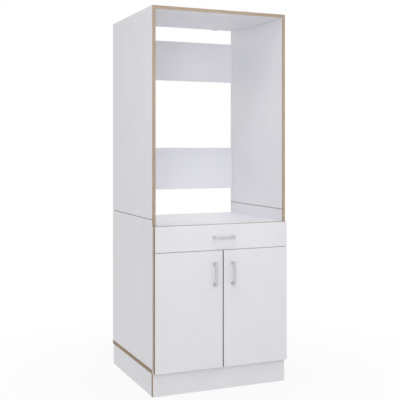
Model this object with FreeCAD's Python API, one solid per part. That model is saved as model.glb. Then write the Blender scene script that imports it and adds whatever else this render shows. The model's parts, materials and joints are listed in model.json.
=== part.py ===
import FreeCAD, Part
import os

# Over-washer cabinet: a tall open frame on a closed base with one drawer and two doors.
# The appliance stands on the base's worktop, in the bay between the frame's sides.
# Millimetres. X runs to the right seen from the front, Y to the back, Z up from the floor.
# The origin is on the floor, in the middle of the outline that includes the handles.

# Carcass boards
width = 680.0
height = 1770.0
carcass_depth = 614.0
board = 16.0
base_board = 19.0
edge_band = 1.0
plinth_height = 106.0
plinth_setback = 1.0
plinth_inset = 4.0
plinth_back_inset = 30.0
worktop_height = 771.0
worktop_thickness = 25.0
worktop_back_gap = 43.0
top_back_gap = 118.0
upper_rail_height = 208.5
upper_rail_drop = 62.5
lower_rail_height = 220.0
lower_rail_rise = 134.0
end_easing = 1.2
cross_rail_depth = 80.0

# Half-lap joint between the lower and the upper sides, above the worktop, and the bevel behind the rails
seam_rise = 28.5
lap_height = 28.5
seam_groove_height = 2.8
seam_groove_depth = 4.0
back_bevel = 30.0
bevel_edge = 1.0

# Back sheet of the base, in grooves
back_sheet = 3.0
back_sheet_inset = 37.0
groove_depth = 6.0
groove_play = 0.15

# Shelf on pins
shelf_height = 380.0
shelf_front_inset = 40.0
shelf_play = 1.0
shelf_pin_radius = 2.5
shelf_pin_depth = 9.0
shelf_pin_reach = 9.0
shelf_pin_inset = 60.0

# Fronts: drawer front and two doors lie over the carcass
front_board = 22.0
front_gap = 3.0
front_reveal = 4.5
front_band = 0.5
drawer_joint = 2.0
door_split = 5.0
drawer_front_height = 118.0
door_rise = 2.0
bumper_radius = 3.0
bumper_play = 0.2
bumper_inset = 30.0

# Drawer box
drawer_board = 12.0
drawer_depth = 500.0
drawer_side_height = 74.0
drawer_clearance = 4.0
drawer_bottom = 3.0
drawer_bottom_rise = 12.0

# Roller runners: a channel on the cabinet side, an angle with a running flange on the drawer
runner_space = 12.5
runner_sheet = 1.2
runner_inset = 2.0
runner_length = 500.0
channel_height = 18.0
channel_lip = 9.0
flange_width = 8.5
flange_clearance = 0.6
drawer_lip = 10.0
roller_radius = 7.5
roller_width = 6.5
roller_play = 0.3
roller_end_inset = 14.0
roller_lip_cut = 28.0
axle_radius = 2.0
axle_fit = 0.05
axle_head_radius = 3.2
axle_head = 0.8
axle_side_play = 0.4

# Bar handles
handle_holes = 96.0
handle_foot = 14.0
handle_width = 12.0
handle_projection = 34.0
handle_waist = 8.0
handle_outer_corner = 15.0
handle_inner_corner = 8.0
handle_rounding = 3.0
door_handle_inset = 43.0
door_handle_drop = 108.0

# Concealed hinges, sizes across the door from the door's edge
hinge_end_distance = 90.0
cup_radius = 17.5
cup_edge = 3.0
cup_depth = 11.5
cup_wall = 0.8
cup_fit = 0.1
cup_bore_spare = 0.5
cup_flange = 1.2
cup_flange_rim = 1.0
cup_wing_width = 13.0
cup_wing_length = 61.0
cup_screw_spacing = 48.0
cup_screw_offset = 6.0
pin_inset = 7.0
pin_sink = 8.0
pin_radius = 1.25
pin_half_length = 7.4
pin_seat_fit = 0.02
ear_gap = 4.5
ear_width = 5.0
ear_over_pin = 2.0
arm_thickness = 2.0
arm_half_width = 4.0
arm_eye_radius = 2.0
arm_run = 26.0
arm_bend_radius = 6.0
arm_body_height = 9.0
arm_body_half_width = 6.5
arm_body_start = 8.0
arm_body_end = 62.0
arm_body_rounding = 1.5
arm_screw_places = (28.0, 50.0)
arm_screw_length = 14.0
plate_start = 20.0
plate_end = 60.0
plate_line = 37.0
plate_wing = 2.5
plate_wing_width = 12.0
plate_wing_half_length = 24.0
plate_screw_spacing = 32.0

# Knock-down joints: cam locks with bolts, and dowels
cam_radius = 7.5
cam_height = 12.5
cam_setback = 34.0
cam_play = 0.1
cam_slot_length = 8.0
cam_slot_width = 1.4
cam_slot_depth = 2.0
cam_bolt_radius = 3.0
cam_bolt_head_radius = 3.5
cam_bolt_head = 4.0
cam_bolt_thread_radius = 2.5
cam_bolt_thread = 11.0
cam_bolt_bore = 4.0
cam_end_inset = 70.0
dowel_radius = 4.0
dowel_length = 30.0
dowel_in_side = 10.0
dowel_offset = 40.0
drawer_dowel_radius = 3.0
drawer_dowel_in_front = 10.0
drawer_dowel_in_side = 8.0
hole_play = 0.05
hole_spare = 0.5

# Screws
recess_length = 4.0
recess_width = 1.0
recess_depth = 1.0
screw_radius = 2.0
screw_head_radius = 4.0
screw_head = 2.4
handle_screw_grip = 10.0
base_screw_radius = 3.5
base_screw_head_radius = 5.0
base_screw_head = 4.0
base_screw_length = 50.0
base_screw_inset = 60.0
lap_screw_length = 13.5
lap_screw_inset = 60.0
small_screw_radius = 1.75
small_screw_head_radius = 3.5
small_screw_head = 1.8
runner_screw_length = 10.0
runner_screw_inset = 60.0
plate_screw_radius = 2.5
plate_screw_head = 2.0
plate_screw_length = 13.0
cup_screw_length = 11.0
cup_screw_head = 1.4

# Plinth corner blocks
corner_block = 28.0
corner_block_height = 60.0
corner_screw_offset = 6.0
corner_screw_step = 30.0
corner_screw_grip = 12.0

# Wall brackets on the top board, with a leg that stands up against the wall
bracket_spacing = 480.0
bracket_width = 30.0
bracket_grip = 44.0
bracket_rise = 30.0
bracket_sheet = 2.0
bracket_hole_radius = 2.75
bracket_hole_rise = 18.0
bracket_screw_spacing = 22.0
bracket_screw_inset = 10.0
bracket_screw_length = 12.0

# Places worked out from the sizes above
half_width = width / 2
inner_x = half_width - board
plinth_half = half_width - plinth_inset
plinth_inner = plinth_half - board
total_depth = handle_projection + front_board + front_gap + carcass_depth
y_back = total_depth / 2
y_edge = y_back - carcass_depth
y_front_back = y_edge - front_gap
y_front_face = y_front_back - front_board
y_bevel = y_back - back_bevel
y_top_end = y_back - top_back_gap
z_base_top = plinth_height + base_board
z_door_low = plinth_height + door_rise
z_worktop_low = worktop_height - worktop_thickness
z_outer_seam = worktop_height + seam_rise
z_inner_seam = z_outer_seam + lap_height
z_top_low = height - board
z_upper_rail_low = z_top_low - upper_rail_drop - upper_rail_height
z_lower_rail_low = worktop_height + lower_rail_rise
z_drawer_front_low = worktop_height - drawer_front_height
z_door_top = z_drawer_front_low - drawer_joint
z_cross_rail_low = z_drawer_front_low - drawer_joint / 2 - board / 2
z_cross_rail_top = z_cross_rail_low + board
front_half = half_width - front_reveal
y_sheet_back = y_back - back_sheet_inset
y_sheet_front = y_sheet_back - back_sheet
drawer_half = inner_x - runner_space
drawer_inner = drawer_half - drawer_board
z_drawer_low = z_cross_rail_top + drawer_clearance
z_drawer_top = z_drawer_low + drawer_side_height
z_drawer_floor_low = z_drawer_low + drawer_bottom_rise
z_drawer_floor = z_drawer_floor_low + drawer_bottom
y_drawer_end = y_front_back + drawer_depth

V = FreeCAD.Vector
drawer_front_middle = V(0, 0, (z_drawer_front_low + worktop_height) / 2)
X, Y, Z = V(1, 0, 0), V(0, 1, 0), V(0, 0, 1)
SIDES = {"left": -1, "right": 1}

pieces = {}
cutters = {}


def add(node, *solids):
    """Puts solids into a named node."""
    pieces.setdefault(node, []).extend(solids)


def cut_from(node, *tools):
    """Keeps tools to be cut out of a node when all pieces are made."""
    cutters.setdefault(node, []).extend(tools)


def block(x, y, z):
    """A box between two places along each axis, in either order."""
    low = V(min(x), min(y), min(z))
    return Part.makeBox(max(x) - min(x), max(y) - min(y), max(z) - min(z), low)


def prism(outline, along):
    """A straight-sided outline pushed along a vector."""
    return Part.Face(Part.makePolygon(outline + outline[:1])).extrude(along)


def turned(point, direction, *steps, play=0.0):
    """A round piece from a point along a direction; a step is its start radius, end radius and length."""
    outline = [V(0, 0, 0)]
    reach = 0.0
    for start, end, length in steps:
        corner = V(start + play, 0, reach)
        if not corner.isEqual(outline[-1], 1e-6):
            outline.append(corner)
        reach += length
        outline.append(V(end + play, 0, reach))
    outline.append(V(0, 0, reach))
    solid = Part.Face(Part.makePolygon(outline + outline[:1])).revolve(V(0, 0, 0), Z, 360)
    solid.Placement = FreeCAD.Placement(point, FreeCAD.Rotation(Z, direction))
    return solid


def rod(point, direction, radius, length):
    """A plain cylinder."""
    return Part.makeCylinder(radius, length, point, direction)


def cross_recess(point, inward, length, width, depth):
    """The two crossed slots that a screwdriver turns a head by."""
    slots = []
    for x, y in ((length, width), (width, length)):
        slot = Part.makeBox(x, y, 2 * depth, V(-x / 2, -y / 2, -depth))
        slot.Placement = FreeCAD.Placement(point, FreeCAD.Rotation(Z, inward))
        slots.append(slot)
    return slots


def drill(nodes, point, direction, *steps):
    """The hole for a fastener, in each node that it passes through."""
    hole = turned(point, direction, *steps, play=hole_play)
    for node in nodes:
        cut_from(node, hole)


def peg(group, nodes, point, direction, *steps):
    """A dowel or pin in a group, and its hole."""
    add(group, turned(point, direction, *steps))
    drill(nodes, point, direction, *steps)


def screw(group, nodes, point, direction, *steps):
    """A screw with a cross recess in its head, in a group, and its hole."""
    recess = cross_recess(point, direction, recess_length, recess_width, recess_depth)
    add(group, turned(point, direction, *steps).cut(recess))
    drill(nodes, point, direction, *steps)


def banded_board(node, band_node, x, z, y_front, y_end):
    """A board with an edge strip along its front edge."""
    add(node, block(x, (y_front + edge_band, y_end), z))
    add(band_node, block(x, (y_front, y_front + edge_band), z))


def banded_front(node, band_node, x, z):
    """A drawer front or door with an edge strip on each of its four edges."""
    y = (y_front_face, y_front_back)
    core_x = (min(x) + front_band, max(x) - front_band)
    core_z = (min(z) + front_band, max(z) - front_band)
    add(node, block(core_x, y, core_z))
    for outer, inner in zip((min(x), max(x)), core_x):
        add(band_node, block((outer, inner), y, z))
    for outer, inner in zip((min(z), max(z)), core_z):
        add(band_node, block(core_x, y, (outer, inner)))


def cam_joint(side, side_node, board_node, y, z, face, face_distance):
    """A cam lock in a board's face, drawn up on a bolt that is screwed into the side board."""
    inward = X * -side
    point = V(side * inner_x, y, z)
    add("cam_bolts", turned(
        point - inward * cam_bolt_thread, inward,
        (cam_bolt_thread_radius, cam_bolt_thread_radius, cam_bolt_thread),
        (cam_bolt_radius, cam_bolt_radius, cam_setback - cam_bolt_head / 2),
        (cam_bolt_head_radius, cam_bolt_head_radius, cam_bolt_head),
    ))
    thread_hole = cam_bolt_thread + hole_spare
    cut_from(side_node, rod(point, -inward, cam_bolt_thread_radius + hole_play, thread_hole))
    cut_from(board_node, rod(point, inward, cam_bolt_bore, cam_setback))
    centre = point + inward * cam_setback
    floor = centre + face * (face_distance - cam_height)
    pocket_floor = floor - face * hole_spare
    cut_from(board_node, rod(pocket_floor, face, cam_radius + cam_play, cam_height + hole_spare))
    cam = rod(floor, face, cam_radius, cam_height)
    cavity_start = centre + inward * cam_bolt_head
    cam = cam.cut(rod(cavity_start, -inward, cam_bolt_bore, cam_radius + 2 * cam_bolt_head))
    head = centre + face * face_distance
    add("cam_locks", cam.cut(cross_recess(head, -face, cam_slot_length, cam_slot_width, cam_slot_depth)))


def dowel_joint(side, side_node, board_node, y, z):
    """A wooden dowel between a side board and the end of another board."""
    start = V(side * (inner_x + dowel_in_side), y, z)
    peg("dowels", (side_node, board_node), start, X * -side, (dowel_radius, dowel_radius, dowel_length))


def make_plinth():
    """The set-back plinth: a front board over the ends of two side boards, a back board between them."""
    z = (0, plinth_height)
    y_face = y_edge + plinth_setback
    y_behind = y_face + base_board
    y_rear = (y_back - plinth_back_inset - board, y_back - plinth_back_inset)
    band_x = plinth_half - edge_band
    add("plinth_front", block((-band_x, band_x), (y_face, y_behind), z))
    add("plinth_back", block((-plinth_inner, plinth_inner), y_rear, z))
    for name, side in SIDES.items():
        node = f"plinth_side_{name}"
        add(node, block((side * plinth_inner, side * plinth_half), (y_behind, y_back), z))
        add("base_edge_bands", block((side * band_x, side * plinth_half), (y_face, y_behind), z))
        make_corner_block(side, node, "plinth_front", y_behind, Y)
        make_corner_block(side, node, "plinth_back", y_rear[0], -Y)


def make_corner_block(side, side_node, cross_node, y_corner, away):
    """A block in a corner of the plinth, screwed to both boards and up into the base board."""
    z_low = plinth_height - corner_block_height
    corner = V(side * plinth_inner, y_corner, z_low)
    inward = X * -side
    far = corner + inward * corner_block + away * corner_block
    add("corner_blocks", block((corner.x, far.x), (corner.y, far.y), (z_low, plinth_height)))
    middle = (corner + far) / 2
    steps = (
        (screw_head_radius, screw_head_radius, screw_head),
        (screw_radius, screw_radius, corner_block + corner_screw_grip),
    )
    nodes = ("corner_blocks", side_node, cross_node, "base_panel")
    z_first = z_low + (corner_block_height - corner_screw_step) / 2
    to_side = V(far.x, middle.y, z_first) + inward * screw_head + away * corner_screw_offset
    screw("corner_screws", nodes, to_side, -inward, *steps)
    z_second = z_first + corner_screw_step
    to_cross = V(middle.x, far.y, z_second) + away * screw_head + inward * corner_screw_offset
    screw("corner_screws", nodes, to_cross, -away, *steps)
    up_steps = (steps[0], (screw_radius, screw_radius, corner_block_height + corner_screw_grip))
    upward = middle - inward * corner_screw_offset - away * corner_screw_offset
    upward.z = z_low - screw_head
    screw("corner_screws", nodes, upward, Z, *up_steps)


def make_base_panel():
    """The base board under the lower sides, with strips on its front edge and both ends."""
    z = (plinth_height, z_base_top)
    band_x = half_width - edge_band
    banded_board("base_panel", "base_edge_bands", (-band_x, band_x), z, y_edge, y_back)
    for side in SIDES.values():
        add("base_edge_bands", block((side * band_x, side * half_width), (y_edge, y_back), z))
    sheet = back_sheet / 2 + groove_play
    y_middle = (y_sheet_front + y_sheet_back) / 2
    groove_half = inner_x + groove_depth
    groove_y = (y_middle - sheet, y_middle + sheet)
    groove_z = (z_base_top - groove_depth, z_base_top)
    cut_from("base_panel", block((-groove_half, groove_half), groove_y, groove_z))


def lapped_outline(side, upper, y):
    """The outline of a side board in the XZ plane with its half of the lap; the upper has the grooves."""
    outer, middle, inner = half_width, half_width - board / 2, inner_x
    lap = [(middle, z_outer_seam), (middle, z_inner_seam)]
    if upper:
        outer_groove = outer - seam_groove_depth
        inner_groove = inner + seam_groove_depth
        z_outer_groove = z_outer_seam + seam_groove_height
        z_inner_groove = z_inner_seam + seam_groove_height
        low = [(outer, z_outer_groove), (outer_groove, z_outer_groove), (outer_groove, z_outer_seam)]
        high = [(inner_groove, z_inner_seam), (inner_groove, z_inner_groove), (inner, z_inner_groove)]
        high += [(inner, height), (outer, height)]
    else:
        low = [(inner, z_base_top), (outer, z_base_top), (outer, z_outer_seam)]
        high = [(inner, z_inner_seam)]
    return [V(side * x, y, z) for x, z in low + lap + high]


def make_sides():
    """Lower and upper side boards with front edge strips, bevelled at the back and screwed at the lap."""
    core = Y * (carcass_depth - edge_band)
    sheet = back_sheet / 2 + groove_play
    y_middle = (y_sheet_front + y_sheet_back) / 2
    for name, side in SIDES.items():
        lower, upper = f"lower_side_{name}", f"upper_side_{name}"
        halves = ((lower, "base_edge_bands", False), (upper, "frame_edge_bands", True))
        for node, band_node, is_upper in halves:
            add(node, prism(lapped_outline(side, is_upper, y_edge + edge_band), core))
            add(band_node, prism(lapped_outline(side, is_upper, y_edge), Y * edge_band))
        groove_x = (side * inner_x, side * (inner_x + groove_depth))
        cut_from(lower, block(groove_x, (y_middle - sheet, y_middle + sheet), (z_base_top, worktop_height)))
        corners = ((inner_x, y_bevel), (inner_x, y_back), (half_width - bevel_edge, y_back))
        bevel = prism([V(side * x, y, z_base_top) for x, y in corners], Z * (height - z_base_top))
        for node in (lower, upper):
            cut_from(node, bevel)
        for y in (y_edge + lap_screw_inset, (y_edge + y_back) / 2, y_back - lap_screw_inset):
            start = V(side * inner_x, y, (z_outer_seam + z_inner_seam) / 2)
            screw("lap_screws", (lower, upper), start, X * side, *countersunk(lap_screw_length))
        for y in (y_edge + base_screw_inset, (y_edge + y_back) / 2, y_back - base_screw_inset):
            start = V(side * (half_width - board / 2), y, plinth_height)
            screw(
                "base_screws", ("base_panel", lower), start, Z,
                (base_screw_head_radius, base_screw_radius, base_screw_head),
                (base_screw_radius, base_screw_radius, base_screw_length - base_screw_head),
            )


def countersunk(length):
    """The steps of a small countersunk screw."""
    return (
        (small_screw_head_radius, small_screw_radius, small_screw_head),
        (small_screw_radius, small_screw_radius, length - small_screw_head),
    )


def make_cross_boards():
    """Top board, worktop, cross rail and back rails, joined to the sides by cam locks and dowels."""
    span = (-inner_x, inner_x)
    y_worktop_end = y_back - worktop_back_gap
    y_cross_end = y_edge + cross_rail_depth
    cross_z = (z_cross_rail_low, z_cross_rail_top)
    back_rails = (
        ("upper_back_rail", z_upper_rail_low, upper_rail_height),
        ("lower_back_rail", z_lower_rail_low, lower_rail_height),
    )
    banded_board("top_panel", "frame_edge_bands", span, (z_top_low, height), y_edge, y_top_end)
    banded_board("worktop", "base_edge_bands", span, (z_worktop_low, worktop_height), y_edge, y_worktop_end)
    banded_board("cross_rail", "base_edge_bands", span, cross_z, y_edge, y_cross_end)
    for node, z_low, rail_height in back_rails:
        add(node, block(span, (y_bevel - board, y_bevel), (z_low, z_low + rail_height)))
    half = board / 2
    for name, side in SIDES.items():
        lower, upper = f"lower_side_{name}", f"upper_side_{name}"
        for y, step in ((y_edge + cam_end_inset, 1), (y_top_end - cam_end_inset, -1)):
            cam_joint(side, upper, "top_panel", y, z_top_low + half, Z, half)
            dowel_joint(side, upper, "top_panel", y + step * dowel_offset, z_top_low + half)
        for y, step in ((y_edge + cam_end_inset, 1), (y_worktop_end - cam_end_inset, -1)):
            cam_joint(side, lower, "worktop", y, z_worktop_low + half, -Z, half)
            dowel_joint(side, lower, "worktop", y + step * dowel_offset, z_worktop_low + half)
        y_cross = y_edge + cross_rail_depth / 2
        cam_joint(side, lower, "cross_rail", y_cross - dowel_offset / 2, z_cross_rail_low + half, -Z, half)
        dowel_joint(side, lower, "cross_rail", y_cross + dowel_offset / 2, z_cross_rail_low + half)
        ease_end("top_panel", side, V(side * inner_x, y_edge + edge_band, z_top_low), Z, Y * carcass_depth)
        for node, z_low, rail_height in back_rails:
            z_middle = z_low + rail_height / 2
            dowel_joint(side, upper, node, y_bevel - half, z_middle)
            for z in (z_middle - cam_end_inset, z_middle + cam_end_inset):
                cam_joint(side, upper, node, y_bevel - half, z, Y, half)
            ease_end(node, side, V(side * inner_x, y_bevel - board, z_low), Y, Z * rail_height)


def ease_end(node, side, corner, inward, along):
    """Takes a thin wedge off the edge of a board's end, where its face meets a side board."""
    outline = [corner, corner - X * (side * end_easing), corner + inward * end_easing]
    cut_from(node, prism(outline, along))


def make_back_sheet():
    """The thin back of the base, held in the grooves of the sides and the base board."""
    reach = inner_x + groove_depth - groove_play
    z = (z_base_top - groove_depth + groove_play, worktop_height - groove_play)
    add("base_back_sheet", block((-reach, reach), (y_sheet_front, y_sheet_back), z))


def make_shelf():
    """The loose shelf in the base, on four pins."""
    reach = inner_x - shelf_play
    y_front, y_end = y_edge + shelf_front_inset, y_sheet_front - shelf_play
    z = (shelf_height, shelf_height + board)
    banded_board("shelf", "base_edge_bands", (-reach, reach), z, y_front, y_end)
    for name, side in SIDES.items():
        for y in (y_front + shelf_pin_inset, y_end - shelf_pin_inset):
            start = V(side * (inner_x + shelf_pin_depth), y, shelf_height - shelf_pin_radius)
            length = shelf_pin_depth + shelf_pin_reach
            steps = (shelf_pin_radius, shelf_pin_radius, length)
            peg("shelf_pins", (f"lower_side_{name}",), start, X * -side, steps)


def make_bumpers():
    """Soft bumpers on the carcass edges, behind the doors' free corners and the drawer front's ends."""
    z_rail = (z_cross_rail_low + z_door_top) / 2
    z_drawer = (z_cross_rail_top + z_drawer_front_low) / 2
    z_base = plinth_height + base_board / 2
    for side in SIDES.values():
        for x, z in ((bumper_inset, z_rail), (bumper_inset, z_base), (drawer_inner, z_drawer)):
            add("front_bumpers", rod(V(side * x, y_edge, z), -Y, bumper_radius, front_gap - bumper_play))


def make_drawer():
    """The drawer box behind its front, joined by dowels, with a thin bottom in grooves."""
    front_z = (z_drawer_front_low, worktop_height)
    banded_front("drawer_front", "drawer_edge_bands", (-front_half, front_half), front_z)
    z = (z_drawer_low, z_drawer_top)
    y_back_board = (y_drawer_end - drawer_board, y_drawer_end)
    add("drawer_back", block((-drawer_inner, drawer_inner), y_back_board, (z_drawer_floor, z_drawer_top)))
    reach = drawer_inner + drawer_board / 2
    floor_z = (z_drawer_floor_low, z_drawer_floor)
    y_floor = y_front_back - groove_depth
    floor_reach = reach - groove_play
    add("drawer_bottom", block((-floor_reach, floor_reach), (y_floor + groove_play, y_drawer_end), floor_z))
    groove_z = (z_drawer_floor_low - groove_play, z_drawer_floor + groove_play)
    groove = block((-reach, reach), (y_floor, y_drawer_end), groove_z)
    cut_from("drawer_front", groove)
    third = drawer_side_height / 3
    for name, side in SIDES.items():
        node = f"drawer_side_{name}"
        add(node, block((side * drawer_inner, side * drawer_half), (y_front_back, y_drawer_end), z))
        cut_from(node, groove)
        for level in (z_drawer_low + third, z_drawer_low + 2 * third):
            front = V(side * (drawer_inner + drawer_board / 2), y_front_back - drawer_dowel_in_front, level)
            steps = (drawer_dowel_radius, drawer_dowel_radius, dowel_length)
            peg("drawer_dowels", (node, "drawer_front"), front, Y, steps)
            rear = V(side * (drawer_inner + drawer_dowel_in_side), y_drawer_end - drawer_board / 2, level)
            peg("drawer_dowels", (node, "drawer_back"), rear, X * -side, steps)


def make_runners():
    """Both roller runners of the drawer, with one roller on each member."""
    for name, side in SIDES.items():
        make_cabinet_runner(name, side)
        make_drawer_runner(name, side)


z_channel_low = z_drawer_low - runner_sheet
z_channel_top = z_channel_low + channel_height
z_flange = z_channel_top + flange_clearance
z_cabinet_roller = z_flange - roller_play - roller_radius
z_drawer_roller = z_channel_low + runner_sheet + roller_play + roller_radius
y_cabinet_roller = y_edge + runner_inset + roller_end_inset
y_drawer_roller = y_drawer_end - roller_end_inset


def axle_with_roller(point, direction):
    """A riveted axle from a runner's web, and the roller that turns on it."""
    seat = axle_side_play + roller_width + axle_side_play
    axle = turned(
        point, direction, (axle_radius, axle_radius, seat), (axle_head_radius, axle_head_radius, axle_head))
    start = point + direction * axle_side_play
    roller = rod(start, direction, roller_radius, roller_width)
    return axle, roller.cut(rod(start, direction, axle_radius + axle_fit, roller_width))


def make_cabinet_runner(name, side):
    """The channel on the cabinet side, with its lips turned inward and its roller at the front."""
    node = f"cabinet_runner_{name}"
    y = (y_edge + runner_inset, y_edge + runner_inset + runner_length)
    web_x = inner_x - runner_sheet
    lip_x = (side * inner_x, side * (inner_x - channel_lip))
    web = block((side * inner_x, side * web_x), y, (z_channel_low, z_channel_top))
    low_lip = block(lip_x, y, (z_channel_low, z_channel_low + runner_sheet))
    high_y = (y[0] + roller_lip_cut, y[1])
    high_lip = block(lip_x, high_y, (z_channel_top - runner_sheet, z_channel_top))
    axle, roller = axle_with_roller(V(side * web_x, y_cabinet_roller, z_cabinet_roller), X * -side)
    add(node, web.multiFuse([low_lip, high_lip, axle]).removeSplitter())
    add("cabinet_rollers", roller)
    z_middle = z_channel_low + channel_height / 2
    nodes = (node, f"lower_side_{name}")
    for along in (y[0] + runner_screw_inset, (y[0] + y[1]) / 2, y[1] - runner_screw_inset):
        start = V(side * web_x, along, z_middle)
        screw("runner_screws", nodes, start, X * side, *countersunk(runner_screw_length))


def make_drawer_runner(name, side):
    """The angle under the drawer side, with its running flange turned outward and its roller behind."""
    node = f"drawer_runner_{name}"
    y = (y_front_back, y_drawer_end)
    web_x = drawer_half + runner_sheet
    z = (z_drawer_low - runner_sheet, z_flange + runner_sheet)
    web = block((side * drawer_half, side * web_x), y, z)
    lip = block((side * web_x, side * (drawer_half - drawer_lip)), y, (z[0], z_drawer_low))
    flange_x = (side * drawer_half, side * (drawer_half + flange_width))
    flange = block(flange_x, y, (z_flange, z_flange + runner_sheet))
    axle, roller = axle_with_roller(V(side * web_x, y_drawer_roller, z_drawer_roller), X * side)
    add(node, web.multiFuse([lip, flange, axle]).removeSplitter())
    add("drawer_rollers", roller)
    z_screws = z_drawer_low + drawer_bottom_rise / 2
    nodes = (node, f"drawer_side_{name}")
    for along in (y[0] + runner_screw_inset, y[1] - runner_screw_inset):
        start = V(side * web_x, along, z_screws)
        screw("drawer_screws", nodes, start, X * -side, *countersunk(runner_screw_length))


def bridge(half_span, rise, corner):
    """A bridge from foot to foot: two straight legs, rounded corners and a straight bar."""
    edges, bar_ends = [], []
    for side in SIDES.values():
        leg_end = V(side * half_span, corner - rise, 0)
        centre = leg_end - X * (side * corner)
        bar_end = centre - Y * corner
        between = centre + (X * side - Y).normalize() * corner
        edges.append(Part.makeLine(V(side * half_span, 0, 0), leg_end))
        edges.append(Part.Arc(leg_end, between, bar_end).toShape())
        bar_ends.append(bar_end)
    edges.append(Part.makeLine(*bar_ends))
    return edges


def make_handle(node, screw_node, front_node, centre, upright):
    """A bar handle on a front, held by two screws from behind."""
    half = (handle_holes + handle_foot) / 2
    inner_half = (handle_holes - handle_foot) / 2
    outline = bridge(half, handle_projection, handle_outer_corner)
    outline += bridge(inner_half, handle_projection - handle_waist, handle_inner_corner)
    for side in SIDES.values():
        outline.append(Part.makeLine(V(side * half, 0, 0), V(side * inner_half, 0, 0)))
    grip = Part.Face(Part.Wire(Part.__sortEdges__(outline))).extrude(Z * handle_width)
    grip.translate(Z * (-handle_width / 2))
    rims = [edge for edge in grip.Edges if edge.BoundBox.ZLength < edge.BoundBox.YLength]
    grip = grip.makeFillet(handle_rounding, rims)
    if upright:
        grip.rotate(V(0, 0, 0), Y, 90)
    grip.translate(V(centre.x, y_front_face, centre.z))
    add(node, grip)
    along = Z if upright else X
    for end in SIDES.values():
        start = V(centre.x, y_front_back + screw_head, centre.z) + along * (end * handle_holes / 2)
        screw(
            screw_node, (front_node, node), start, -Y,
            (screw_head_radius, screw_head_radius, screw_head),
            (screw_radius, screw_radius, front_board + handle_screw_grip),
        )


def make_doors():
    """Both doors with their edge strips, handles and hinges."""
    z = (z_door_low, z_door_top)
    for name, side in SIDES.items():
        door = f"{name}_door"
        x = (side * door_split / 2, side * front_half)
        banded_front(door, f"{door}_edge_bands", x, z)
        centre = V(side * (door_split / 2 + door_handle_inset), 0, z_door_top - door_handle_drop)
        make_handle(f"{door}_handle", f"{door}_screws", door, centre, upright=True)
        for z_hinge in (z_door_low + hinge_end_distance, z_door_top - hinge_end_distance):
            make_hinge_cup(name, side, z_hinge)
            make_hinge_arm(name, side, z_hinge)


def hinge_place(side, across, depth, z):
    """A place measured inward from the side's outer face and backward from the fronts' back plane."""
    return V(side * (half_width - across), y_front_back + depth, z)


pin_across = front_reveal + pin_inset
pin_depth = -pin_sink
cup_across = front_reveal + cup_edge + cup_radius


def make_hinge_cup(name, side, z):
    """The cup of a hinge in the door's back, its screws, and the pin that its arm turns on."""
    door, node = f"{name}_door", f"{name}_hinge_cups"
    mouth = hinge_place(side, cup_across, 0, z)
    outer = cup_radius - cup_fit
    inner = outer - cup_wall
    wing_middle = hinge_place(side, cup_across + cup_screw_offset, 0, z)
    wing = block(
        (wing_middle.x - cup_wing_width / 2, wing_middle.x + cup_wing_width / 2),
        (y_front_back, y_front_back + cup_flange),
        (z - cup_wing_length / 2, z + cup_wing_length / 2),
    )
    rim = rod(mouth, Y, cup_radius + cup_flange_rim, cup_flange)
    cup = rod(mouth, -Y, outer, cup_depth).multiFuse([rim, wing])
    hollow = rod(mouth + Y * cup_flange, -Y, inner, cup_depth + cup_flange - cup_wall)
    cup = cup.cut(hollow)
    floor_depth = cup_wall - cup_depth
    for end in SIDES.values():
        low = hinge_place(side, pin_across - ear_width / 2, floor_depth, z + end * ear_gap)
        high = hinge_place(side, pin_across + ear_width / 2, pin_depth + ear_over_pin, z + end * cup_radius)
        ear = block((low.x, high.x), (low.y, high.y), (low.z, high.z)).common(hollow)
        cup = cup.fuse(ear)
    pin_start = hinge_place(side, pin_across, pin_depth, z - pin_half_length)
    cup = cup.cut(rod(pin_start, Z, pin_radius + pin_seat_fit, 2 * pin_half_length))
    add(node, cup.removeSplitter())
    add(f"{name}_hinge_pins", rod(pin_start, Z, pin_radius, 2 * pin_half_length))
    cut_from(door, rod(mouth, -Y, cup_radius, cup_depth + cup_bore_spare))
    for end in SIDES.values():
        start = wing_middle + V(0, cup_flange + cup_screw_head, end * cup_screw_spacing / 2)
        screw(
            f"{door}_screws", (door, node), start, -Y,
            (small_screw_head_radius, small_screw_head_radius, cup_screw_head),
            (small_screw_radius, small_screw_radius, cup_screw_length),
        )


def hinge_screw(length):
    """The steps of a countersunk screw in a hinge's plate or arm."""
    return (
        (screw_head_radius, plate_screw_radius, plate_screw_head),
        (plate_screw_radius, plate_screw_radius, length - plate_screw_head),
    )


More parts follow.
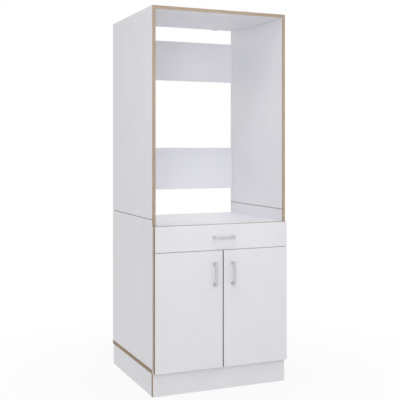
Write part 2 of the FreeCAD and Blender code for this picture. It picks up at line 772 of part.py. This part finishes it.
def make_hinge_arm(name, side, z):
    """The arm that hooks into the cup and turns on its pin, and the mounting plate that carries it."""
    half = arm_thickness / 2
    bend_across = pin_across + arm_run - arm_bend_radius - half
    bend_depth = pin_depth + arm_bend_radius
    run_across = bend_across + arm_bend_radius
    body_depth = front_gap + arm_body_start + half

    def at(across, depth):
        return hinge_place(side, across, depth, z - arm_half_width)

    def bend(radius):
        slant = radius * 0.5 ** 0.5
        start = at(bend_across, bend_depth - radius)
        middle = at(bend_across + slant, bend_depth - slant)
        return Part.Arc(start, middle, at(bend_across + radius, bend_depth)).toShape()

    outer_turn, inner_turn = arm_bend_radius + half, arm_bend_radius - half
    outer = [at(pin_across, pin_depth - half), at(bend_across, bend_depth - outer_turn)]
    ends = [at(run_across + half, bend_depth), at(run_across + half, body_depth)]
    back = [at(run_across - half, body_depth), at(run_across - half, bend_depth)]
    inner = [at(bend_across, bend_depth - inner_turn), at(pin_across, pin_depth + half)]
    lines = (outer, ends, (ends[1], back[0]), back, inner, (inner[1], outer[0]))
    edges = [Part.makeLine(*line) for line in lines] + [bend(outer_turn), bend(inner_turn)]
    strip = Part.Face(Part.Wire(Part.__sortEdges__(edges))).extrude(Z * (2 * arm_half_width))
    eye_start = at(pin_across, pin_depth)
    eye = rod(eye_start, Z, arm_eye_radius, 2 * arm_half_width)
    top_across = run_across + half
    body_start, body_end = front_gap + arm_body_start, front_gap + arm_body_end
    low = hinge_place(side, top_across - arm_body_height, body_start, z - arm_body_half_width)
    high = hinge_place(side, top_across, body_end, z + arm_body_half_width)
    body = block((low.x, high.x), (low.y, high.y), (low.z, high.z))
    long_edges = [edge for edge in body.Edges if edge.BoundBox.YLength > arm_body_height]
    ridges = [edge for edge in long_edges if abs(edge.CenterOfMass.x - high.x) < arm_body_rounding]
    body = body.makeFillet(arm_body_rounding, ridges)
    arm = strip.multiFuse([eye, body]).cut(rod(eye_start, Z, pin_radius + axle_fit, 2 * arm_half_width))
    add("hinge_arms", arm.removeSplitter())

    plate_top = low.x
    y_line = y_edge + plate_line
    plate = block((side * inner_x, plate_top), (y_edge + plate_start, y_edge + plate_end), (low.z, high.z))
    wing_top = side * (inner_x - plate_wing)
    wing_y = (y_line - plate_wing_width / 2, y_line + plate_wing_width / 2)
    wing_z = (z - plate_wing_half_length, z + plate_wing_half_length)
    wing = block((side * inner_x, wing_top), wing_y, wing_z)
    add("hinge_plates", plate.fuse(wing).removeSplitter())
    for end in SIDES.values():
        start = V(wing_top, y_line, z + end * plate_screw_spacing / 2)
        nodes = ("hinge_plates", f"lower_side_{name}")
        screw("hinge_plate_screws", nodes, start, X * side, *hinge_screw(plate_screw_length))
    for place in arm_screw_places:
        start = V(high.x, y_edge + place, z)
        nodes = ("hinge_arms", "hinge_plates")
        screw("hinge_plate_screws", nodes, start, X * side, *hinge_screw(arm_screw_length))


def make_wall_brackets():
    """Two long angle brackets that tie the top board to the wall behind it."""
    y_grip = y_top_end - bracket_grip
    for side in SIDES.values():
        middle = side * bracket_spacing / 2
        x = (middle - bracket_width / 2, middle + bracket_width / 2)
        flat = block(x, (y_grip, y_back), (height, height + bracket_sheet))
        leg = block(x, (y_back - bracket_sheet, y_back), (height, height + bracket_rise))
        hole = rod(V(middle, y_back, height + bracket_hole_rise), -Y, bracket_hole_radius, bracket_sheet)
        add("wall_brackets", flat.fuse(leg).removeSplitter().cut(hole))
        y_first = y_grip + bracket_screw_inset
        for y in (y_first, y_first + bracket_screw_spacing):
            start = V(middle, y, height + bracket_sheet + screw_head)
            screw(
                "bracket_screws", ("wall_brackets", "top_panel"), start, -Z,
                (screw_head_radius, screw_head_radius, screw_head),
                (screw_radius, screw_radius, bracket_screw_length),
            )


def finished(node):
    """A node's solids with all its holes and grooves cut."""
    tools = cutters.get(node, [])
    solids = []
    for solid in pieces[node]:
        near = [tool for tool in tools if tool.BoundBox.intersect(solid.BoundBox)]
        solids += solid.cut(near).Solids if near else solid.Solids
    return solids


make_plinth()
make_base_panel()
make_sides()
make_cross_boards()
make_back_sheet()
make_shelf()
make_bumpers()
make_drawer()
make_runners()
make_handle("drawer_handle", "drawer_screws", "drawer_front", drawer_front_middle, upright=False)
make_doors()
make_wall_brackets()

os.makedirs("parts", exist_ok=True)
for node in pieces:
    Part.makeCompound(finished(node)).exportStep(f"parts/{node}.step")
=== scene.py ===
"""Looks of the over-washer cabinet: finishes, softened edges, floor, light and camera."""
import json
import math

import bpy
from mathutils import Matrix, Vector


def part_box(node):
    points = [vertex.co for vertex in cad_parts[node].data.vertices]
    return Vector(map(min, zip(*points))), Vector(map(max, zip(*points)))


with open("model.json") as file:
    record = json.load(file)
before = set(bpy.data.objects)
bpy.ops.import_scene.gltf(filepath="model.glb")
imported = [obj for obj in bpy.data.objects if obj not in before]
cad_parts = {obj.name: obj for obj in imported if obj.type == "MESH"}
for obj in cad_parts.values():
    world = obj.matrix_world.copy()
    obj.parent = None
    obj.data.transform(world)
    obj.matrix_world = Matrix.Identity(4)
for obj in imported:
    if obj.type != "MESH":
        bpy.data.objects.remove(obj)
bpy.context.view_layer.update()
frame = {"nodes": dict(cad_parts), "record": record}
nodes = frame["nodes"]

MM = 0.001
scene = bpy.context.scene

# The photograph's camera: an image of 400 x 400, the lens in pixels, and the pixel that it looks straight at
IMAGE = 400
LENS_PIXELS = 789.39
CENTRE_PIXEL = (203.46, 147.11)

# Its place in metres, its turn to the right in degrees, and its sensor's width in millimetres
CAMERA_PLACE = (-1.526, -3.6365, 1.129)
CAMERA_TURN = 23.16
SENSOR = 36.0

# How far in from a board's face its melamine facing is taken to reach, in millimetres
FACING = 0.3

# Radii of softened edges, and the distance within which a piece's points are joined first, in millimetres
BOARD_EDGE = 0.4
SHEET_EDGE = 0.2
STEEL_EDGE = 0.4
BRACKET_EDGE = 0.5
NYLON_EDGE = 0.5
BLOCK_EDGE = 1.0
BUMPER_EDGE = 0.8
JOINED_POINTS = 0.002

# Edges that turn by more than this, in degrees, are softened
SHARP_TURN = 40

# Sockets of a colour mix, which share their names with its other kinds
FACTOR, COLOUR_A, COLOUR_B, MIXED = 0, 6, 7, 2

# The dome's light as a share of plain white, and the lamps in watts, metres and degrees
DOME_LIGHT = 0.645
LAMPS = {
    "front_softbox": {
        "power": 33.5, "size": 2.4, "spread": 180, "place": (-1.7, -4.2, 1.8), "aim": (0.0, 0.0, 1.0)},
    "high_bay_lamp": {
        "power": 0.73, "size": 0.8, "spread": 35, "place": (-0.3, -1.15, 2.65), "aim": (0.1, 0.05, 0.785)},
    "low_bay_lamp": {
        "power": 0.19, "size": 0.8, "spread": 25, "place": (-1.5, -2.4, 0.9), "aim": (0.324, -0.05, 1.6)},
}

# The floor's width, its drop below the plinth, the share of shadow it keeps, and how far out that fades
FLOOR_SIZE = 60.0
FLOOR_DROP = 0.3 * MM
FLOOR_SHADOW = 0.15
SHADOW_REACH = 1.6


def linear(code):
    """An sRGB hex colour as linear red, green, blue and alpha."""
    values = [int(code[i:i + 2], 16) / 255 for i in (1, 3, 5)]
    return [v / 12.92 if v <= 0.04045 else ((v + 0.055) / 1.055) ** 2.4 for v in values] + [1.0]


def per_metre(size_mm):
    """The texture scale that repeats a pattern at this size."""
    return 1 / (size_mm * MM)


def add_node(tree, kind, inputs=None, stops=(), **settings):
    """Adds a node with its settings, its inputs as values or as sockets to link from, and a ramp's
    colour stops."""
    node = tree.nodes.new(kind)
    for name, value in settings.items():
        setattr(node, name, value)
    for name, value in (inputs or {}).items():
        if isinstance(value, bpy.types.NodeSocket):
            tree.links.new(value, node.inputs[name])
        else:
            node.inputs[name].default_value = value
    for index, (position, code) in enumerate(stops):
        elements = node.color_ramp.elements
        element = elements[index] if index < len(elements) else elements.new(position)
        element.position = position
        element.color = linear(code)
    return node


def start_material(name):
    """A new material's tree, with the coordinates of the piece that it is put on."""
    material = bpy.data.materials.new(name)
    material.use_nodes = True
    material.node_tree.nodes.clear()
    place = add_node(material.node_tree, "ShaderNodeTexCoord")
    return material, material.node_tree, place.outputs["Object"]


def finish_material(tree, surface):
    """Puts a surface shader, described by its inputs, on the material's output."""
    shader = add_node(tree, "ShaderNodeBsdfPrincipled", surface)
    add_node(tree, "ShaderNodeOutputMaterial", {"Surface": shader.outputs["BSDF"]})


def pressed_melamine(tree, at):
    """White melamine paper pressed on a board against a pearl-textured plate: even white, satin and
    faintly mottled."""
    pearl = add_node(tree, "ShaderNodeTexNoise", {"Vector": at, "Scale": per_metre(1.2), "Detail": 3.0})
    mottle = add_node(tree, "ShaderNodeTexNoise", {"Vector": at, "Scale": per_metre(160), "Detail": 2.0})
    white = add_node(
        tree, "ShaderNodeValToRGB", {"Fac": mottle.outputs["Fac"]},
        stops=[(0.3, "#eeeef3"), (0.7, "#f1f1f5")])
    gloss = add_node(
        tree, "ShaderNodeMapRange", {"Value": pearl.outputs["Fac"], "To Min": 0.34, "To Max": 0.48})
    return white.outputs["Color"], gloss.outputs["Result"], pearl.outputs["Fac"]


def melamine_board(node):
    """Melamine-faced chipboard: a board's two faces are white, and its sawn edges, grooves and drillings
    show the pressed chips, 2 to 4 mm across, in pale and dark browns."""
    material, tree, at = start_material(f"melamine_faced_chipboard_{node}")
    normal = add_node(tree, "ShaderNodeTexCoord").outputs["Normal"]
    white, gloss, pearl = pressed_melamine(tree, at)
    low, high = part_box(node)
    size = list(high - low)
    across = size.index(min(size))
    turn = add_node(tree, "ShaderNodeSeparateXYZ", {"Vector": normal}).outputs[across]
    flat = add_node(tree, "ShaderNodeMath", {0: turn}, operation="ABSOLUTE").outputs[0]
    place = add_node(tree, "ShaderNodeSeparateXYZ", {"Vector": at}).outputs[across]
    middle = (low[across] + high[across]) / 2
    offset = add_node(tree, "ShaderNodeMath", {0: place, 1: middle}, operation="SUBTRACT").outputs[0]
    reach = add_node(tree, "ShaderNodeMath", {0: offset}, operation="ABSOLUTE").outputs[0]
    core = min(size) / 2 - FACING * MM
    outside = add_node(tree, "ShaderNodeMath", {0: reach, 1: core}, operation="GREATER_THAN").outputs[0]
    faced = add_node(tree, "ShaderNodeMath", {0: flat, 1: outside}, operation="MULTIPLY").outputs[0]
    sawn = add_node(tree, "ShaderNodeMath", {0: faced, 1: 0.5}, operation="LESS_THAN").outputs[0]
    chips = add_node(tree, "ShaderNodeTexVoronoi", {"Vector": at, "Scale": per_metre(3.0)})
    tone = add_node(tree, "ShaderNodeSeparateColor", {"Color": chips.outputs["Color"]})
    wood = add_node(
        tree, "ShaderNodeValToRGB", {"Fac": tone.outputs["Red"]},
        stops=[(0.0, "#6a5138"), (1.0, "#c2a67c"), (0.35, "#8b6c4a"), (0.7, "#a5865f")])
    colour = add_node(
        tree, "ShaderNodeMix", {FACTOR: sawn, COLOUR_A: white, COLOUR_B: wood.outputs["Color"]},
        data_type="RGBA")
    rough = add_node(tree, "ShaderNodeMapRange", {"Value": sawn, "To Min": gloss, "To Max": 0.9})
    relief = add_node(
        tree, "ShaderNodeMapRange", {"Value": sawn, "To Min": pearl, "To Max": tone.outputs["Red"]})
    depth = add_node(tree, "ShaderNodeMapRange", {"Value": sawn, "To Min": 0.12, "To Max": 0.5})
    bump = add_node(
        tree, "ShaderNodeBump",
        {"Height": relief.outputs["Result"], "Strength": depth.outputs["Result"], "Distance": 0.1 * MM})
    finish_material(tree, {
        "Base Color": colour.outputs[MIXED], "Roughness": rough.outputs["Result"], "IOR": 1.5,
        "Normal": bump.outputs["Normal"]})
    return material


def wrapped_board():
    """Chipboard wrapped in white melamine foil all round: satin white on faces and edges alike."""
    material, tree, at = start_material("foil_wrapped_chipboard")
    white, gloss, pearl = pressed_melamine(tree, at)
    bump = add_node(tree, "ShaderNodeBump", {"Height": pearl, "Strength": 0.12, "Distance": 0.1 * MM})
    finish_material(tree, {
        "Base Color": white, "Roughness": gloss, "IOR": 1.5, "Normal": bump.outputs["Normal"]})
    return material


def printed_edge_strip():
    """ABS edge strip with a printed oak tone: matt brown with fine long streaks, upright on upright edges.
    Ends that face left or right get a darker brown as painted shade, and front edges that the drawer front
    and doors cover have a white one."""
    material, tree, at = start_material("printed_abs_edge_strip")
    normal = add_node(tree, "ShaderNodeTexCoord").outputs["Normal"]
    across = add_node(tree, "ShaderNodeSeparateXYZ", {"Vector": at})
    streaks = []
    for run in ((1.0, 1.0, 0.03), (0.03, 0.03, 1.0)):
        grain = add_node(tree, "ShaderNodeMapping", {"Vector": at, "Scale": run})
        streaks.append(add_node(
            tree, "ShaderNodeTexNoise",
            {"Vector": grain.outputs["Vector"], "Scale": per_metre(1.6), "Detail": 4.0, "Roughness": 0.6}))
    outside = add_node(tree, "ShaderNodeMath", {0: across.outputs["X"]}, operation="ABSOLUTE")
    upright = add_node(
        tree, "ShaderNodeMath", {0: outside.outputs[0], 1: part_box("upper_side_right")[0].x},
        operation="GREATER_THAN")
    standing, lying = streaks
    streak = add_node(
        tree, "ShaderNodeMapRange",
        {"Value": upright.outputs[0], "To Min": lying.outputs["Fac"], "To Max": standing.outputs["Fac"]})
    pale = add_node(
        tree, "ShaderNodeValToRGB", {"Fac": streak.outputs["Result"]},
        stops=[(0.3, "#a08e7a"), (0.7, "#bdac99"), (0.5, "#b09e8a")])
    # painted shade: a darker copy of the brown, mixed in on strip ends by how far they face left or right
    dark = add_node(
        tree, "ShaderNodeValToRGB", {"Fac": streak.outputs["Result"]},
        stops=[(0.3, "#866b4a"), (0.7, "#a48a67"), (0.5, "#967b58")])
    turn = add_node(tree, "ShaderNodeSeparateXYZ", {"Vector": normal})
    sideways_painted_shade = add_node(tree, "ShaderNodeMath", {0: turn.outputs["X"]}, operation="ABSOLUTE")
    brown = add_node(
        tree, "ShaderNodeMix",
        {FACTOR: sideways_painted_shade.outputs[0], COLOUR_A: pale.outputs["Color"], COLOUR_B: dark.outputs["Color"]},
        data_type="RGBA")
    forward = add_node(tree, "ShaderNodeMath", {0: turn.outputs["Y"]}, operation="ABSOLUTE")
    low = add_node(
        tree, "ShaderNodeMath", {0: across.outputs["Z"], 1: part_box("drawer_front")[1].z},
        operation="LESS_THAN")
    covered = add_node(
        tree, "ShaderNodeMath", {0: forward.outputs[0], 1: low.outputs[0]}, operation="MULTIPLY")
    tone = add_node(
        tree, "ShaderNodeMix",
        {FACTOR: covered.outputs[0], COLOUR_A: brown.outputs[MIXED], COLOUR_B: linear("#ecebec")},
        data_type="RGBA")
    bump = add_node(
        tree, "ShaderNodeBump", {"Height": streak.outputs["Result"], "Strength": 0.15, "Distance": 0.1 * MM})
    finish_material(tree, {
        "Base Color": tone.outputs[MIXED], "Roughness": 0.5, "IOR": 1.5, "Normal": bump.outputs["Normal"]})
    return material


def lacquered_hardboard(name, axis, sign):
    """Hardboard, lacquered white on the side that shows inside; its other side is bare brown fibre with the
    imprint of the press's wire screen."""
    material, tree, at = start_material(name)
    normal = add_node(tree, "ShaderNodeTexCoord").outputs["Normal"]
    parts = add_node(tree, "ShaderNodeSeparateXYZ", {"Vector": normal})
    facing = add_node(tree, "ShaderNodeMath", {0: parts.outputs[axis], 1: sign}, operation="MULTIPLY")
    bare = add_node(tree, "ShaderNodeMath", {0: facing.outputs[0], 1: 0.5}, operation="LESS_THAN").outputs[0]
    fibre = add_node(
        tree, "ShaderNodeTexNoise", {"Vector": at, "Scale": per_metre(2.5), "Detail": 6.0, "Roughness": 0.7})
    brown = add_node(
        tree, "ShaderNodeValToRGB", {"Fac": fibre.outputs["Fac"]}, stops=[(0.3, "#6d4f36"), (0.7, "#93704e")])
    # the screen's real mesh is about 1.5 mm, drawn at 4 mm so that it shows
    screen = add_node(
        tree, "ShaderNodeTexVoronoi", {"Vector": at, "Scale": per_metre(4.0), "Randomness": 0.0})
    colour = add_node(
        tree, "ShaderNodeMix", {FACTOR: bare, COLOUR_A: linear("#e4e4e6"), COLOUR_B: brown.outputs["Color"]},
        data_type="RGBA")
    rough = add_node(tree, "ShaderNodeMapRange", {"Value": bare, "To Min": 0.3, "To Max": 0.85})
    depth = add_node(tree, "ShaderNodeMapRange", {"Value": bare, "To Min": 0.02, "To Max": 0.4})
    bump = add_node(
        tree, "ShaderNodeBump",
        {"Height": screen.outputs["Distance"], "Strength": depth.outputs["Result"], "Distance": 0.3 * MM})
    finish_material(tree, {
        "Base Color": colour.outputs[MIXED], "Roughness": rough.outputs["Result"], "IOR": 1.5,
        "Normal": bump.outputs["Normal"]})
    return material


def matt_chrome(name, run):
    """Zinc casting, brushed and plated in matt chrome: a soft pale grey metal with fine streaks along
    the bar."""
    material, tree, at = start_material(name)
    grain = add_node(tree, "ShaderNodeMapping", {"Vector": at, "Scale": run})
    brush = add_node(
        tree, "ShaderNodeTexNoise",
        {"Vector": grain.outputs["Vector"], "Scale": per_metre(0.5), "Detail": 3.0})
    tone = add_node(
        tree, "ShaderNodeValToRGB", {"Fac": brush.outputs["Fac"]}, stops=[(0.3, "#c6c7cb"), (0.7, "#d2d3d7")])
    gloss = add_node(
        tree, "ShaderNodeMapRange", {"Value": brush.outputs["Fac"], "To Min": 0.26, "To Max": 0.42})
    bump = add_node(
        tree, "ShaderNodeBump", {"Height": brush.outputs["Fac"], "Strength": 0.1, "Distance": 0.05 * MM})
    finish_material(tree, {
        "Base Color": tone.outputs["Color"], "Metallic": 1.0, "Roughness": gloss.outputs["Result"],
        "Normal": bump.outputs["Normal"]})
    return material


def plated_steel(name, dark, light, smooth, dull):
    """Pressed steel with a bright electroplated coat: metal with a faint cloud in its tone and gloss."""
    material, tree, at = start_material(name)
    cloud = add_node(tree, "ShaderNodeTexNoise", {"Vector": at, "Scale": per_metre(5.0), "Detail": 4.0})
    tone = add_node(
        tree, "ShaderNodeValToRGB", {"Fac": cloud.outputs["Fac"]}, stops=[(0.3, dark), (0.7, light)])
    gloss = add_node(
        tree, "ShaderNodeMapRange", {"Value": cloud.outputs["Fac"], "To Min": smooth, "To Max": dull})
    finish_material(tree, {
        "Base Color": tone.outputs["Color"], "Metallic": 1.0, "Roughness": gloss.outputs["Result"]})
    return material


def epoxy_coated_steel():
    """Steel sheet with baked white epoxy powder: glossy white with a slight orange peel."""
    material, tree, at = start_material("white_epoxy_coated_steel")
    peel = add_node(tree, "ShaderNodeTexNoise", {"Vector": at, "Scale": per_metre(1.5), "Detail": 1.0})
    tone = add_node(
        tree, "ShaderNodeValToRGB", {"Fac": peel.outputs["Fac"]}, stops=[(0.3, "#e6e6e6"), (0.7, "#ececec")])
    bump = add_node(
        tree, "ShaderNodeBump", {"Height": peel.outputs["Fac"], "Strength": 0.15, "Distance": 0.1 * MM})
    finish_material(tree, {
        "Base Color": tone.outputs["Color"], "Roughness": 0.3, "IOR": 1.55, "Normal": bump.outputs["Normal"]})
    return material


def moulded_plastic(name, dark, light, roughness, grit_mm):
    """Injection-moulded plastic: an even tone with the fine spark-eroded texture of its mould."""
    material, tree, at = start_material(name)
    grit = add_node(tree, "ShaderNodeTexNoise", {"Vector": at, "Scale": per_metre(grit_mm), "Detail": 2.0})
    tone = add_node(
        tree, "ShaderNodeValToRGB", {"Fac": grit.outputs["Fac"]}, stops=[(0.3, dark), (0.7, light)])
    bump = add_node(
        tree, "ShaderNodeBump", {"Height": grit.outputs["Fac"], "Strength": 0.2, "Distance": 0.05 * MM})
    finish_material(tree, {
        "Base Color": tone.outputs["Color"], "Roughness": roughness, "IOR": 1.5,
        "Normal": bump.outputs["Normal"]})
    return material


def turned_beech():
    """Beech turned into dowels: pale pinkish brown with short dark flecks."""
    material, tree, at = start_material("turned_beech")
    fleck = add_node(tree, "ShaderNodeTexVoronoi", {"Vector": at, "Scale": per_metre(1.5)})
    tone = add_node(
        tree, "ShaderNodeValToRGB", {"Fac": fleck.outputs["Distance"]},
        stops=[(0.1, "#a97f58"), (0.4, "#d0ab80")])
    finish_material(tree, {"Base Color": tone.outputs["Color"], "Roughness": 0.65, "IOR": 1.5})
    return material


def soft_polyurethane():
    """Clear cast polyurethane bumpers: soft, milky and slightly see-through, with a cloudy skin."""
    material, tree, at = start_material("clear_polyurethane")
    cloud = add_node(tree, "ShaderNodeTexNoise", {"Vector": at, "Scale": per_metre(2.0)})
    gloss = add_node(
        tree, "ShaderNodeMapRange", {"Value": cloud.outputs["Fac"], "To Min": 0.2, "To Max": 0.4})
    finish_material(tree, {
        "Base Color": linear("#eceae4"), "Roughness": gloss.outputs["Result"], "IOR": 1.5,
        "Transmission Weight": 0.6})
    return material


def soften(node, radius_mm):
    """Rounds a piece's sharp edges a little, as tools, presses and moulds leave them, so that they catch
    the light."""
    weld = nodes[node].modifiers.new("joined_faces", "WELD")
    weld.merge_threshold = JOINED_POINTS * MM
    bevel = nodes[node].modifiers.new("softened_edges", "BEVEL")
    bevel.width = radius_mm * MM
    bevel.segments = 2
    bevel.limit_method = "ANGLE"
    bevel.angle_limit = math.radians(SHARP_TURN)
    bevel.harden_normals = True


def dress(node, material, radius_mm=0.0):
    """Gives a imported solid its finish, and its softened edges where a radius is given."""
    nodes[node].data.materials.clear()
    nodes[node].data.materials.append(material)
    if radius_mm:
        soften(node, radius_mm)


def nodes_of(slot):
    """The nodes that take their finish from a slot of the record."""
    return [part["node"] for part in frame["record"]["subparts"] if part["material_slot"] == slot]


def dress_boards():
    """Boards: faced on both sides, or wrapped where the edges are white too."""
    wrapped = wrapped_board()
    wrapped_nodes = (
        "upper_back_rail", "lower_back_rail", "drawer_side_left", "drawer_side_right", "drawer_back")
    for node in nodes_of("white_board"):
        dress(node, wrapped if node in wrapped_nodes else melamine_board(node), BOARD_EDGE)
    dress("base_back_sheet", lacquered_hardboard("hardboard_back", "Y", -1), SHEET_EDGE)
    dress("drawer_bottom", lacquered_hardboard("hardboard_bottom", "Z", 1), SHEET_EDGE)
    strip = printed_edge_strip()
    for node in nodes_of("edge_strip"):
        dress(node, strip)


def dress_fittings():
    """Handles, hinges, runners, fasteners and small plastic pieces."""
    lying, upright = (0.04, 1.0, 1.0), (1.0, 1.0, 0.04)
    dress("drawer_handle", matt_chrome("matt_chrome_lying", lying))
    standing = matt_chrome("matt_chrome_upright", upright)
    for side in ("left", "right"):
        dress(f"{side}_door_handle", standing)
    zinc = plated_steel("bright_zinc_plated_steel", "#b4b9bf", "#c9ccd0", 0.25, 0.42)
    nickel = plated_steel("nickel_plated_steel", "#bebab2", "#cbc8c1", 0.16, 0.28)
    rounded = {
        "wall_brackets": BRACKET_EDGE, "hinge_plates": STEEL_EDGE, "hinge_arms": STEEL_EDGE,
        "shelf_pins": STEEL_EDGE}
    nickel_nodes = ("hinge_arms", "hinge_plates", "left_hinge_cups", "right_hinge_cups", "shelf_pins")
    for node in nodes_of("zinc_steel"):
        dress(node, nickel if node in nickel_nodes else zinc, rounded.get(node, 0.0))
    epoxy = epoxy_coated_steel()
    for node in nodes_of("white_steel"):
        dress(node, epoxy, 0.0 if node == "lap_screws" else STEEL_EDGE)
    nylon = moulded_plastic("moulded_nylon", "#e3dfd3", "#ece9de", 0.4, 0.8)
    for node in nodes_of("nylon"):
        dress(node, nylon, NYLON_EDGE)
    polypropylene = moulded_plastic("moulded_polypropylene", "#84878b", "#8e9195", 0.5, 0.6)
    dress("corner_blocks", polypropylene, BLOCK_EDGE)
    beech = turned_beech()
    for node in nodes_of("beech"):
        dress(node, beech)
    dress("front_bumpers", soft_polyurethane(), BUMPER_EDGE)


def white_to_the_eye(tree):
    """1 for rays from the camera and for rays that metal and clear plastic send on, and 0 for the light
    itself."""
    path = add_node(tree, "ShaderNodeLightPath")
    seen = path.outputs["Is Camera Ray"]
    for kind in ("Is Glossy Ray", "Is Transmission Ray"):
        seen = add_node(
            tree, "ShaderNodeMath", {0: seen, 1: path.outputs[kind]}, operation="MAXIMUM").outputs[0]
    return seen


def hang_lamp(name, power, size, spread, place, aim):
    """A round soft lamp at a place, turned towards another."""
    light = bpy.data.lights.new(name, "AREA")
    light.energy = power
    light.shape = "DISK"
    light.size = size
    light.spread = math.radians(spread)
    lamp = bpy.data.objects.new(name, light)
    scene.collection.objects.link(lamp)
    lamp.visible_camera = False
    lamp.location = place
    lamp.rotation_euler = (Vector(aim) - Vector(place)).to_track_quat("-Z", "Y").to_euler()


def light_studio():
    """A white dome all round, a large soft lamp in front, and two narrow ones that reach into the bay."""
    world = bpy.data.worlds.new("white_studio")
    scene.world = world
    world.use_nodes = True
    tree = world.node_tree
    tree.nodes.clear()
    strength = add_node(
        tree, "ShaderNodeMapRange", {"Value": white_to_the_eye(tree), "To Min": DOME_LIGHT, "To Max": 1.0})
    dome = add_node(
        tree, "ShaderNodeBackground", {"Color": linear("#ffffff"), "Strength": strength.outputs["Result"]})
    add_node(tree, "ShaderNodeOutputWorld", {"Surface": dome.outputs["Background"]})
    for name, lamp in LAMPS.items():
        hang_lamp(name, **lamp)


def lay_floor():
    """A plain pale floor that shows white, and near the cabinet keeps part of its shadow."""
    half = FLOOR_SIZE / 2
    mesh = bpy.data.meshes.new("floor")
    corners = [(-half, -half, -FLOOR_DROP), (half, -half, -FLOOR_DROP), (half, half, -FLOOR_DROP),
               (-half, half, -FLOOR_DROP)]
    mesh.from_pydata(corners, [], [(0, 1, 2, 3)])
    floor = bpy.data.objects.new("floor", mesh)
    scene.collection.objects.link(floor)
    material, tree, at = start_material("pale_floor")
    paint = add_node(tree, "ShaderNodeBsdfDiffuse", {"Color": linear("#f7f7f7")})
    glow = add_node(tree, "ShaderNodeEmission", {"Color": linear("#ffffff"), "Strength": 1.0})
    distance = add_node(tree, "ShaderNodeVectorMath", {0: at}, operation="LENGTH")
    kept = add_node(
        tree, "ShaderNodeMapRange",
        {"Value": distance.outputs["Value"], "From Max": SHADOW_REACH, "To Min": FLOOR_SHADOW, "To Max": 0.0},
        interpolation_type="SMOOTHSTEP")
    lit = add_node(tree, "ShaderNodeMath", {0: 1.0, 1: kept.outputs["Result"]}, operation="SUBTRACT")
    share = add_node(
        tree, "ShaderNodeMath", {0: white_to_the_eye(tree), 1: lit.outputs[0]}, operation="MULTIPLY")
    surface = add_node(
        tree, "ShaderNodeMixShader",
        {"Fac": share.outputs[0], 1: paint.outputs["BSDF"], 2: glow.outputs["Emission"]})
    add_node(tree, "ShaderNodeOutputMaterial", {"Surface": surface.outputs["Shader"]})
    mesh.materials.append(material)


def place_camera():
    """A level camera in front on the left, with the photograph's lens and framing."""
    camera = bpy.data.objects.new("camera", bpy.data.cameras.new("camera"))
    scene.collection.objects.link(camera)
    camera.location = CAMERA_PLACE
    camera.rotation_euler = (math.radians(90), 0, math.radians(-CAMERA_TURN))
    camera.data.sensor_width = SENSOR
    camera.data.lens = LENS_PIXELS * SENSOR / IMAGE
    camera.data.shift_x = 0.5 - CENTRE_PIXEL[0] / IMAGE
    camera.data.shift_y = CENTRE_PIXEL[1] / IMAGE - 0.5
    scene.camera = camera


dress_boards()
dress_fittings()
light_studio()
lay_floor()
place_camera()
scene.view_settings.view_transform = "Standard"
